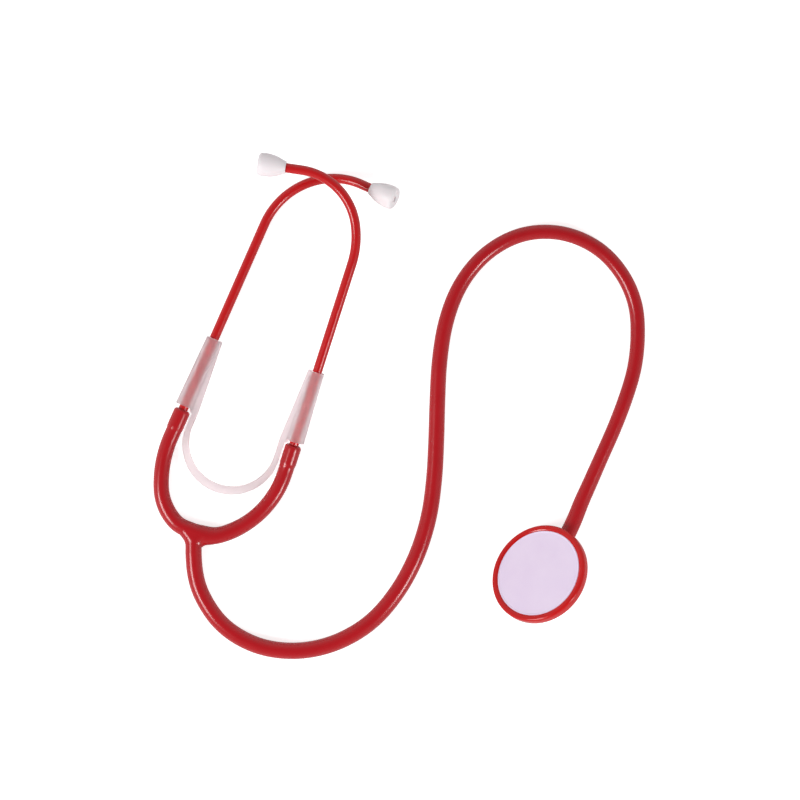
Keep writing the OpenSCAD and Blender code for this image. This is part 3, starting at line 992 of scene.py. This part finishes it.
        def distance(points: np.ndarray) -> np.ndarray:
            """Measures how far points are from the fork's skin.

            Args:
                points: The points, one a row.

            Returns:
                The distance of each point, below 0 inside the fork.
            """
            level = np.clip(1 - ((points[:, 2] - z) / self.stub_r) ** 2, 0, 1)
            aside = np.abs((points - middle) @ across - self.crotch_at)
            near = np.clip(1 - aside / self.crotch_reach, 0, 1)
            crotch = self.crotch * level * near ** 2 * (3 - 2 * near)
            to_arms = distance_to_line(points, arms) - self.fork_arm_r - crotch
            to_stub = distance_to_line(points, stub) - self.stub_r
            to_web = distance_to_sheet(points, web) - (self.fork_arm_r - self.web_sink)
            fillet = np.maximum(level, self.least_fillet) * np.interp(points[:, 0], band, self.fillets)
            return soft_least(np.minimum(to_arms, to_web), to_stub, fillet)

        return distance

    def build_fork(self) -> None:
        """Moulds the fork between the two arms and the long tube."""
        work = Workpiece()
        x, y, z = HEADSET.fork_at
        ends = []
        for side in Side:
            run = HEADSET.arm_run(side)
            end = self.arm_branch(run)
            marks = [-HEADSET.branch_start, *run.marks(0, end + self.fork_margin, self.rough_step)]
            work.sweep([Station(run.place(at), self.fork_arm_r) for at in marks], self.fork_sides)
            place = run.place(end)
            ends.append((place.translation, heading(place, 0, 0, 1)))
        down = looking(Vector((x, y, z)), Vector((0, -1, 0)))
        work.sweep([Station(down @ moved(0, 0, at), self.stub_r - self.rough_play)
                    for at in (0, self.stub + self.fork_margin)], self.fork_sides)
        ends.append((Vector((x, y - self.stub, z)), Vector((0, -1, 0))))
        work.fuse(self.fork_voxel)
        work.relax(self.fork_times)
        work.settle(self.fork_field(), self.fork_times)
        for at, way in ends:
            work.cut(at, way)
        fork = work.finish("fork_moulding", SOFT_TUBING)
        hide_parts("fork")
        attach(fork, "tubing")

    def arm_branch(self, run: Run) -> float:
        """How far along its run an arm leaves the fork."""
        return run.steps[0].length + self.fork_overhang

    def arm_radius(self, at: float, run: Run) -> float:
        """Finds the outer radius of an arm, which swells where its ear tube is inside.

        Args:
            at: Distance along the arm's run.
            run: The arm's run.

        Returns:
            The radius in millimetres.
        """
        branch = self.arm_branch(run)
        foot = run.length - HEADSET.grip_length
        swell_start, swell_end = (foot + offset for offset in self.grip_swell)
        slim = (self.fork_arm_r - self.arm_r) * (1 - ease(branch, branch + self.arm_taper, at))
        swell = (self.grip_r - self.arm_r) * ease(swell_start, swell_end, at)
        return self.arm_r + slim + swell - rim_fall(self.mouth_rounding, run.length - at)

    def build_arm(self, side: Side) -> None:
        """Makes one hollow arm, from the fork to its mouth.

        Args:
            side: The side of the headset.
        """
        run = HEADSET.arm_run(side)
        branch, end = self.arm_branch(run), run.length
        foot = end - HEADSET.grip_length
        rim_start = end - self.mouth_rounding
        arm_end, swell_start, swell_end, grip_start = (foot + offset for offset in self.swell_rings)
        marks = [*run.marks(branch, arm_end, self.arm_step),
                 *run.marks(swell_start, swell_end, self.swell_step),
                 *run.marks(grip_start, rim_start - self.rim_gap, self.grip_step),
                 *(end - self.mouth_rounding * (1 - math.sin(angle)) for angle in RIM_ANGLES)]
        rings = [(at, self.arm_radius(at, run)) for at in marks]
        rings += [(end, self.socket_r + self.mouth_chamfer), (end - self.mouth_chamfer, self.socket_r)]
        rings += [(at, self.socket_r) for at in run.marks(end - self.grip_step, foot, self.grip_step)]
        rings += [(at, self.channel_r) for at in run.marks(foot, branch, self.channel_step)]
        work = Workpiece()
        work.sweep([Station(run.place(at), radius) for at, radius in rings], self.arm_sides, hollow=True)
        arm = work.finish(f"{side.value}_arm_sleeve", SOFT_TUBING)
        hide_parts(f"{side.value}_arm")
        from_fork, from_foot = self.bend_margins
        start = run.place(branch + from_fork).translation * MM
        stop = run.place(foot - from_foot).translation * MM
        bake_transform(arm)


@dataclass
class Yoke:
    """The frosted springy moulding that holds the two ear tubes.

    Sizes are in millimetres.

    Attributes:
        sleeve_length: Length of a sleeve.
        sleeve_top_r: Its radius at the top.
        sleeve_foot_r: Its radius at the foot.
        foot_widening: How much wider than deep its foot is.
        sleeve_sides: Corners of its rings.
        bore_r: Its bore.
        flare: How much its bore opens at either end.
        top_flare: How deep the opening at the top is.
        foot_flare: How deep the opening at the foot is.
        gap: Distance from the arm's mouth to the sleeve.
        fin_inset: How far outside the bore a fin starts.
        fin_top_reach: How far a fin reaches from the ear tube's line at the top.
        fin_reach: How far it reaches at the foot.
        fin_root: Where the small web between a fin and the sleeve's foot starts.
        fin_clearance: Height of that web above the arm's mouth.
        height: Thickness of the fins and the bow.
        side_w: Width of the bow at its ends.
        middle_w: Its width in the middle.
        rise: Where the bow begins, up along the headset.
        lap: How far two rough shapes lap over each other.
        past: Angle in degrees where a rough half of the bow ends, past the middle.
        bow_points: Points of each of its edges.
        bend_start: Where a half was to start bending, across and down as shares of the bow's radius. Not
            used.
        bend_end: Where its bend was to end. Not used.
        voxel: Width of the faces of the skin.
        softening: How often the skin is softened.
    """

    sleeve_length: float = 32.4
    sleeve_top_r: float = 3.3
    sleeve_foot_r: float = 3.7
    foot_widening: float = 1.12
    sleeve_sides: int = 64
    bore_r: float = 2.25
    flare: float = 0.45
    top_flare: float = 1.3
    foot_flare: float = 1.6
    gap: float = 1.6
    fin_inset: float = 0.6
    fin_top_reach: float = 4.0
    fin_reach: float = 6.8
    fin_root: float = 2.9
    fin_clearance: float = 0.35
    height: float = 3.0
    side_w: float = 2.6
    middle_w: float = 3.9
    rise: float = 41.9
    lap: float = 0.5
    past: float = 96.0
    bow_points: int = 48
    bend_start: tuple[float, float] = (0.12, 1.0)
    bend_end: tuple[float, float] = (1.05, 0.1)
    voxel: float = 0.22
    softening: int = 12

    def build(self) -> None:
        """Makes the two halves, which meet in the middle of the bow."""
        for side in Side:
            self.build_half(side)

    def fin_end(self, side: Side) -> tuple[float, Vector]:
        """Finds how far a fin runs down past the mouth, and where its inner edge ends.

        Args:
            side: The side of the headset.

        Returns:
            The fin's leg in millimetres, and the end in the headset's own frame.
        """
        local = HEADSET.place().inverted() @ HEADSET.mouth(side)
        inner = local @ Vector((self.fin_reach, 0, 0))
        down = heading(local, 0, 0, -1)
        leg = (self.rise - inner.y) / down.y
        return leg, inner + down * leg

    def bow(self) -> tuple[Matrix, float]:
        """Finds the bow, which joins the ends of the two fins.

        Returns:
            The middle of its upper edge as a place, and its inner radius.
        """
        left, right = self.fin_end(Side.LEFT)[1], self.fin_end(Side.RIGHT)[1]
        inner = (right.x - left.x) / 2
        middle = (left + right) / 2
        roll = math.degrees(math.asin((right.z - left.z) / (2 * inner)))
        return HEADSET.place() @ Matrix.Translation(middle) @ turned("Y", -roll), inner

    def bow_outline(self, inner: float, sign: int) -> list[tuple[float, float]]:
        """Draws half of the bow, which laps over the fin and past the middle.

        Args:
            inner: Inner radius of the bow.
            sign: Side of the half, -1 or 1.

        Returns:
            The outline's corners.
        """
        outer = inner + self.side_w
        step = (self.middle_w - self.side_w) / 2
        past = math.radians(self.past)
        rim = np.linspace(-math.asin((self.lap + step) / outer), past, self.bow_points)
        hem = np.linspace(math.asin((step - self.lap) / inner), past, self.bow_points)
        return [*((sign * outer * math.cos(a), -outer * math.sin(a) - step) for a in rim),
                *((sign * inner * math.cos(a), -inner * math.sin(a) + step) for a in reversed(hem))]

    def build_half(self, side: Side) -> None:
        """Makes one half: a sleeve, its fin and half of the bow.

        Args:
            side: The side of the headset.
        """
        mouth = HEADSET.mouth(side)
        leg, _ = self.fin_end(side)
        top = self.gap + self.sleeve_length
        wide = mouth @ moved(0, 0, self.gap) @ Matrix.Diagonal((self.foot_widening, 1, 1, 1))
        bore_top, bore_foot = top - self.top_flare, self.gap + self.foot_flare
        rings = [(top, self.sleeve_top_r), (top, self.bore_r + self.flare), (bore_top, self.bore_r),
                 (bore_foot, self.bore_r), (self.gap, self.bore_r + self.flare)]
        work = Workpiece()
        work.sweep([Station(wide, self.sleeve_foot_r),
                    *(Station(mouth @ moved(0, 0, at), radius) for at, radius in rings)],
                   self.sleeve_sides, hollow=True)
        fin_start, fin_outer = self.bore_r + self.fin_inset, self.fin_reach - self.side_w
        fin = [(fin_start, self.gap), (fin_start, top), (self.fin_top_reach, top),
               (self.fin_reach, self.gap), (self.fin_reach, -leg - self.lap),
               (fin_outer, -leg - self.lap), (fin_outer, 0.0),
               (self.fin_root, self.fin_clearance), (self.fin_root, self.gap)]
        work.plate(fin, self.height, mouth @ turned("X", 90))
        place, inner = self.bow()
        sign = -1 if side is Side.LEFT else 1
        work.plate(self.bow_outline(inner, sign), self.height, place)
        work.fuse(self.voxel)
        work.relax(self.softening)
        work.ream(mouth, self.bore_r, bore_foot, bore_top)
        work.cut(place.translation, heading(place, -sign, 0, 0))
        half = work.finish(f"{side.value}_yoke_half", FROSTED)
        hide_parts(f"{side.value}_sleeve", "spring_bow")
        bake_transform(half)


@dataclass
class EarTubes:
    """The two bent ear tubes with their soft tips.

    Sizes are in millimetres.

    Attributes:
        tube_r: Radius of a tube.
        channel_r: Radius of its channel.
        tube_step: Distance between its rings.
        tube_sides: Corners of each ring.
        tip_r: Largest radius of a tip.
        tip_length: Length of a tip.
        tip_step: Distance between the points of its outline.
        tip_turns: Steps of its full turn.
        play: Gap between a tip and its tube.
        end_play: Gap past the tube's end in the tip.
        hole_r: Radius of the sound hole.
        hole_mouth: Where the hole's mouth is, as a share of the tip's length.
        hole_rounding: Rounding of the mouth.
        tip_shares: Outline of a tip, as shares of its length and of its radius.
    """

    tube_r: float = 2.1
    channel_r: float = 1.3
    tube_step: float = 1.0
    tube_sides: int = 40
    tip_r: float = 5.15
    tip_length: float = 12.2
    tip_step: float = 0.5
    tip_turns: int = 72
    play: float = 0.05
    end_play: float = 0.1
    hole_r: float = 1.25
    hole_mouth: float = 0.985
    hole_rounding: float = 0.35
    tip_shares: tuple[tuple[float, float], ...] = (
        (0.0, 0.54), (0.1, 0.63), (0.22, 0.75), (0.35, 0.86), (0.48, 0.94), (0.65, 0.99), (0.78, 1.0),
        (0.9, 0.97), (0.965, 0.9), (1.0, 0.76))

    def build(self) -> None:
        """Makes both ear tubes and both tips."""
        for side in Side:
            self.build_tube(side)
            self.build_tip(side)

    def build_tube(self, side: Side) -> None:
        """Bends one hollow ear tube.

        Args:
            side: The side of the headset.
        """
        run = HEADSET.ear_run(side)
        marks = run.marks(0, run.length, self.tube_step)
        outside = [Station(run.place(at), self.tube_r) for at in marks]
        inside = [Station(run.place(at), self.channel_r) for at in reversed(marks)]
        work = Workpiece()
        work.sweep([*outside, *inside], self.tube_sides, hollow=True)
        tube = work.finish(f"{side.value}_bent_tube", HARD_TUBE)
        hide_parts(f"{side.value}_ear_tube")
        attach(tube, f"{side.value}_tube")

    def build_tip(self, side: Side) -> None:
        """Turns one ear tip, with its sound hole.

        Args:
            side: The side of the headset.
        """
        run = HEADSET.ear_run(side)
        place = run.place(run.length) @ moved(0, 0, -HEADSET.tip_grip)
        shape = [Vector((self.tip_r * r, 0, self.tip_length * z)) for z, r in self.tip_shares]
        curve = smooth_through(shape, self.tip_step)
        socket_r, socket_end = self.tube_r + self.play, HEADSET.tip_grip + self.end_play
        outline = [(socket_r, 0.0, 0.0), *[(p.x, p.z, 0.0) for p in curve],
                   (self.hole_r, self.tip_length * self.hole_mouth, self.hole_rounding),
                   (self.hole_r, socket_end, 0.0), (socket_r, socket_end, 0.0)]
        work = Workpiece()
        work.turn_outline(outline, place, self.tip_turns)
        tip = work.finish(f"{side.value}_soft_tip", EAR_TIP, sharp=65.0)
        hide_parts(f"{side.value}_ear_tip")
        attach(tip, f"{side.value}_tip")


@dataclass
class Chestpiece:
    """The round chestpiece: a dish with its boss and spigot, a ring and the diaphragm.

    Sizes are in millimetres. Heights are measured from the diaphragm's face, and a rounding of
    0 leaves a corner sharp.

    Attributes:
        at: The middle of the diaphragm's face.
        tilt_way: Heading in degrees of the side that is tilted down.
        tilt: Its tilt in degrees.
        spigot_way: Heading in degrees of the spigot, round the dish from that side.
        ring_r: Outer radius of the ring.
        ring_depth: How far the ring reaches back.
        ring_roundings: Roundings of its corners, from the bore's back round to the lip's inner edge.
        face_r: Radius of the face that shows inside the ring.
        lip_rise: Height of the ring's lip.
        lip_slope: Width of the slope inside the lip.
        bore_r: Inner radius of the ring behind its lip.
        play: Gap between two pieces that fit into each other.
        diaphragm_t: Thickness of the diaphragm.
        middle_r: Radius of a circle of corners that divides its face.
        bead: Outline of its rim bead, as distance from the face's edge, height and rounding.
        gasket: Gap between the dish's rim and the diaphragm.
        dish_gap: How far behind the ring the dish's back is.
        dish_wall: Thickness of the dish's wall.
        dish_floor: Thickness of its floor.
        dish_roundings: Roundings of its back edge and inside its wall.
        boss_r: Radius of the boss where it meets the dish.
        boss_fillet: Width and height of the slope where they meet.
        boss_foot_r: Radius of the boss at its foot.
        foot_rounding: Rounding of the foot's edge.
        foot_loss: How much less the tilted foot reaches for that rounding.
        spigot_depth: How far behind the face the spigot is.
        spigot_r: Radius of the spigot.
        spigot_start: Where it starts, out from the dish's middle.
        spigot_reach: Where it ends.
        spigot_chamfer: Chamfer of its end.
        spigot_sides: Corners of its rings.
        tube_end_start: Where the tube's end starts, out from the dish's middle.
        tube_end_length: Length of the tube's end.
    """

    at: tuple[float, float, float] = (73.6, -80.4, 16.0734)
    tilt_way: float = 140.0
    tilt: float = 37.0
    spigot_way: float = -73.6
    ring_r: float = 22.2
    ring_depth: float = 4.0
    ring_roundings: tuple[float, float, float, float, float] = (0.15, 1.2, 1.1, 0.5, 0.1)
    face_r: float = 19.4
    lip_rise: float = 0.6
    lip_slope: float = 0.75
    bore_r: float = 20.7
    play: float = 0.05
    diaphragm_t: float = 0.6
    middle_r: float = 10.0
    bead: tuple[tuple[float, float, float], ...] = ((0.1, 0.2, 0.08), (0.5, 0.2, 0.12), (0.75, 0.0, 0.08))
    gasket: float = 0.1
    dish_gap: float = 0.2
    dish_wall: float = 2.0
    dish_floor: float = 1.6
    dish_roundings: tuple[float, float] = (0.5, 0.4)
    boss_r: float = 9.0
    boss_fillet: tuple[float, float] = (1.2, 0.1)
    boss_foot_r: float = 8.0
    foot_rounding: float = 1.0
    foot_loss: float = 0.64
    spigot_depth: float = 7.9
    spigot_r: float = 2.1
    spigot_start: float = 4.0
    spigot_reach: float = 19.3
    spigot_chamfer: float = 0.5
    spigot_sides: int = 40
    tube_end_start: float = 10.0
    tube_end_length: float = 14.0

    def place(self) -> Matrix:
        """The diaphragm's face, with its outward way as Z and the spigot's way as X."""
        return (moved(*self.at) @ turned("Z", self.tilt_way) @ turned("Y", self.tilt)
                @ turned("Z", self.spigot_way))

    def tube_stop(self) -> Vector:
        """Where the long tube ends and its last stretch begins."""
        return self.place() @ Vector((self.tube_end_start + self.tube_end_length, 0, -self.spigot_depth))

    def build(self) -> None:
        """Makes the ring, the diaphragm, the dish and the spigot."""
        self.build_ring()
        self.build_diaphragm()
        self.build_dish()
        self.build_spigot()

    def build_ring(self) -> None:
        """Turns the ring, whose lip holds the diaphragm."""
        inner, outer, lip, slope, edge = self.ring_roundings
        self.turned_piece("bezel", RING, "bezel_ring", [
            (self.bore_r, -self.ring_depth, inner), (self.ring_r, -self.ring_depth, outer),
            (self.ring_r, self.lip_rise, lip), (self.face_r + self.lip_slope, self.lip_rise, slope),
            (self.face_r, self.play, edge), (self.bore_r, self.play, 0.0)])

    def build_diaphragm(self) -> None:
        """Turns the diaphragm, with the fine bead inside its rim."""
        rim = self.bore_r - self.play
        self.turned_piece("face_disc", DIAPHRAGM, "diaphragm", [
            (0.0, -self.diaphragm_t, 0.0), (rim, -self.diaphragm_t, 0.0), (rim, 0.0, 0.0),
            (self.face_r, 0.0, 0.0),
            *((self.face_r - inset, height, bend) for inset, height, bend in self.bead),
            (self.middle_r, 0.0, 0.0), (0.0, 0.0, 0.0)])

    def build_dish(self) -> None:
        """Turns the dish, whose boss just reaches the surface that the toy lies on."""
        lowest = (self.boss_foot_r - self.foot_loss) * math.sin(math.radians(self.tilt))
        depth = (self.at[2] - lowest) / math.cos(math.radians(self.tilt))
        back, top = -self.ring_depth - self.dish_gap, -self.diaphragm_t - self.gasket
        rim, floor = self.bore_r - self.play, back + self.dish_floor
        outside, inside = self.dish_roundings
        wide, high = self.boss_fillet
        self.turned_piece("dish", DISH, "chest_body", [
            (0.0, -depth, 0.0), (self.boss_foot_r, -depth, self.foot_rounding),
            (self.boss_r, back - high, 0.0), (self.boss_r + wide, back, 0.0), (rim, back, outside),
            (rim, top, 0.0), (rim - self.dish_wall, top, 0.0), (rim - self.dish_wall, floor, inside),
            (0.0, floor, 0.0)])

    def build_spigot(self) -> None:
        """Draws the spigot that the tube's end is pushed over."""
        axle = self.place() @ moved(0, 0, -self.spigot_depth) @ turned("Y", 90)
        rings = [(self.spigot_start, self.spigot_r),
                 (self.spigot_reach - self.spigot_chamfer, self.spigot_r),
                 (self.spigot_reach, self.spigot_r - self.spigot_chamfer)]
        work = Workpiece()
        work.sweep([Station(axle @ moved(0, 0, at), radius) for at, radius in rings], self.spigot_sides)
        pin = work.finish("spigot", DISH)
        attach(pin, "chestpiece")

    def turned_piece(self, name: str, finish: Finish, node: str,
                     outline: Sequence[tuple[float, float, float]]) -> None:
        """Turns one round piece and puts it in its node's place.

        Args:
            name: Name of the piece.
            finish: Its finish.
            node: The node that it stands for.
            outline: Its corners as radius, height and rounding.
        """
        work = Workpiece()
        work.turn_outline(outline, self.place())
        piece = work.finish(name, finish, sharp=35.0)
        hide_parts(node)
        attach(piece, "chestpiece")


@dataclass(frozen=True)
class SoftBox:
    """One soft lamp that faces the middle of the toy.

    Attributes:
        name: Its name.
        at: Where it stands, in metres.
        size: Its width and height in metres.
        power: Its power in watts.
    """

    name: str
    at: tuple[float, float, float]
    size: tuple[float, float]
    power: float

    def build(self) -> None:
        """Hangs the lamp."""
        data = bpy.data.lights.new(self.name, "AREA")
        data.shape = "RECTANGLE"
        data.size, data.size_y = self.size
        data.energy = self.power
        lamp = bpy.data.objects.new(self.name, data)
        lamp.location = self.at
        lamp.rotation_mode = "QUATERNION"
        lamp.rotation_quaternion = (-Vector(self.at)).to_track_quat("-Z", "Y")
        bpy.context.scene.collection.objects.link(lamp)


@dataclass
class Studio:
    """A pale floor, soft light and the camera of the photograph.

    Sizes are in metres.

    Attributes:
        centre: The point of the floor that the camera looks down on.
        frame_width: Width of what the camera sees.
        focus_height: Height at which it sees that width.
        distance: Height of the camera above that.
        sensor: Width of its sensor in millimetres.
        clip: Nearest and furthest distance that it sees.
        horizon: Strength of the world's light at the sides.
        overhead: Its strength overhead.
        back: How much stronger it is from behind, as a share.
        boxes: The two lamps.
        floor_half: Half the floor's width.
        floor_colour: Its colour, in linear numbers.
        floor_roughness: Its roughness.
        floor_drop: How far below the toy it lies.
        glow: How strongly it shines to the camera, on top of the light that falls on it.
        seen_through: The share of that which shows through the frosted yoke.
    """

    centre: tuple[float, float] = (0.01356, -0.00527)
    frame_width: float = 0.35095
    focus_height: float = 0.005
    distance: float = 1.2
    sensor: float = 36.0
    clip: tuple[float, float] = (0.05, 20.0)
    horizon: float = 0.78
    overhead: float = 0.19
    back: float = 0.35
    boxes: tuple[SoftBox, ...] = (
        SoftBox("left_box", (-0.741, -0.345, 0.736), (0.46, 0.36), 6.8),
        SoftBox("right_box", (0.711, -0.536, 0.647), (0.24, 0.36), 3.9))
    floor_half: float = 4.0
    floor_colour: tuple[float, float, float, float] = (0.86, 0.86, 0.86, 1.0)
    floor_roughness: float = 0.9
    floor_drop: float = 0.0001
    glow: float = 0.66
    seen_through: float = 0.3

    def place_camera(self) -> None:
        """Looks straight down, as the photograph does."""
        data = bpy.data.cameras.new("camera")
        data.sensor_width = self.sensor
        data.lens = self.sensor * self.distance / self.frame_width
        data.clip_start, data.clip_end = self.clip
        camera = bpy.data.objects.new("camera", data)
        camera.location = (*self.centre, self.focus_height + self.distance)
        bpy.context.scene.collection.objects.link(camera)
        bpy.context.scene.camera = camera

    def light(self) -> None:
        """Sets a pale world, which is white to the camera and dimmer overhead, and the lamps."""
        world = bpy.data.worlds.new("studio")
        graph = Graph(world)
        graph.shader.inputs["Color"].default_value = (1, 1, 1, 1)
        way = graph.add("SeparateXYZ", {0: graph.add("TexCoord").outputs["Generated"]})
        height = graph.stretch(way.outputs["Z"], 0.0, 1.0, self.horizon, self.overhead)
        behind = graph.stretch(way.outputs["Y"], 0.0, 1.0, 1.0, 1.0 + self.back)
        around = graph.combine("MULTIPLY", height, behind)
        rays = graph.add("LightPath").outputs
        seen = graph.combine("MAXIMUM", rays["Is Camera Ray"], rays["Is Transmission Ray"])
        graph.wire(graph.combine("MAXIMUM", seen, around), graph.shader.inputs["Strength"])
        bpy.context.scene.world = world
        for box in self.boxes:
            box.build()

    def lay_floor(self) -> None:
        """Lays a white floor that shows white to the camera and keeps the toy's soft shadow."""
        bm = bmesh.new()
        bmesh.ops.create_grid(bm, x_segments=1, y_segments=1, size=self.floor_half)
        mesh = bpy.data.meshes.new("floor")
        bm.to_mesh(mesh)
        bm.free()
        paper = bpy.data.materials.new("floor_paper")
        graph = Graph(paper)
        shader = graph.shader
        shader.inputs["Base Color"].default_value = self.floor_colour
        shader.inputs["Roughness"].default_value = self.floor_roughness
        shader.inputs["Specular IOR Level"].default_value = 0.0
        shader.inputs["Emission Color"].default_value = (1, 1, 1, 1)
        rays = graph.add("LightPath").outputs
        through = graph.combine("MULTIPLY", rays["Is Transmission Ray"], self.seen_through)
        seen = graph.combine("MAXIMUM", rays["Is Camera Ray"], through)
        graph.wire(graph.combine("MULTIPLY", seen, self.glow), shader.inputs["Emission Strength"])
        mesh.materials.append(paper)
        floor = bpy.data.objects.new("floor", mesh)
        floor.location = (0, 0, CAD_BOX[0].z - self.floor_drop)
        bpy.context.scene.collection.objects.link(floor)

    def set_view(self) -> None:
        """Shows colours plainly."""
        bpy.context.scene.view_settings.view_transform = "Standard"


def main() -> None:
    """Builds the studio and every piece of the toy."""
    logging.basicConfig(level=logging.INFO, format="%(name)s: %(message)s")
    studio = Studio()
    studio.place_camera()
    studio.set_view()
    chest = Chestpiece()
    Tubing().build(chest)
    Yoke().build()
    EarTubes().build()
    chest.build()
    studio.light()
    studio.lay_floor()


if __name__ == "__main__":
    main()
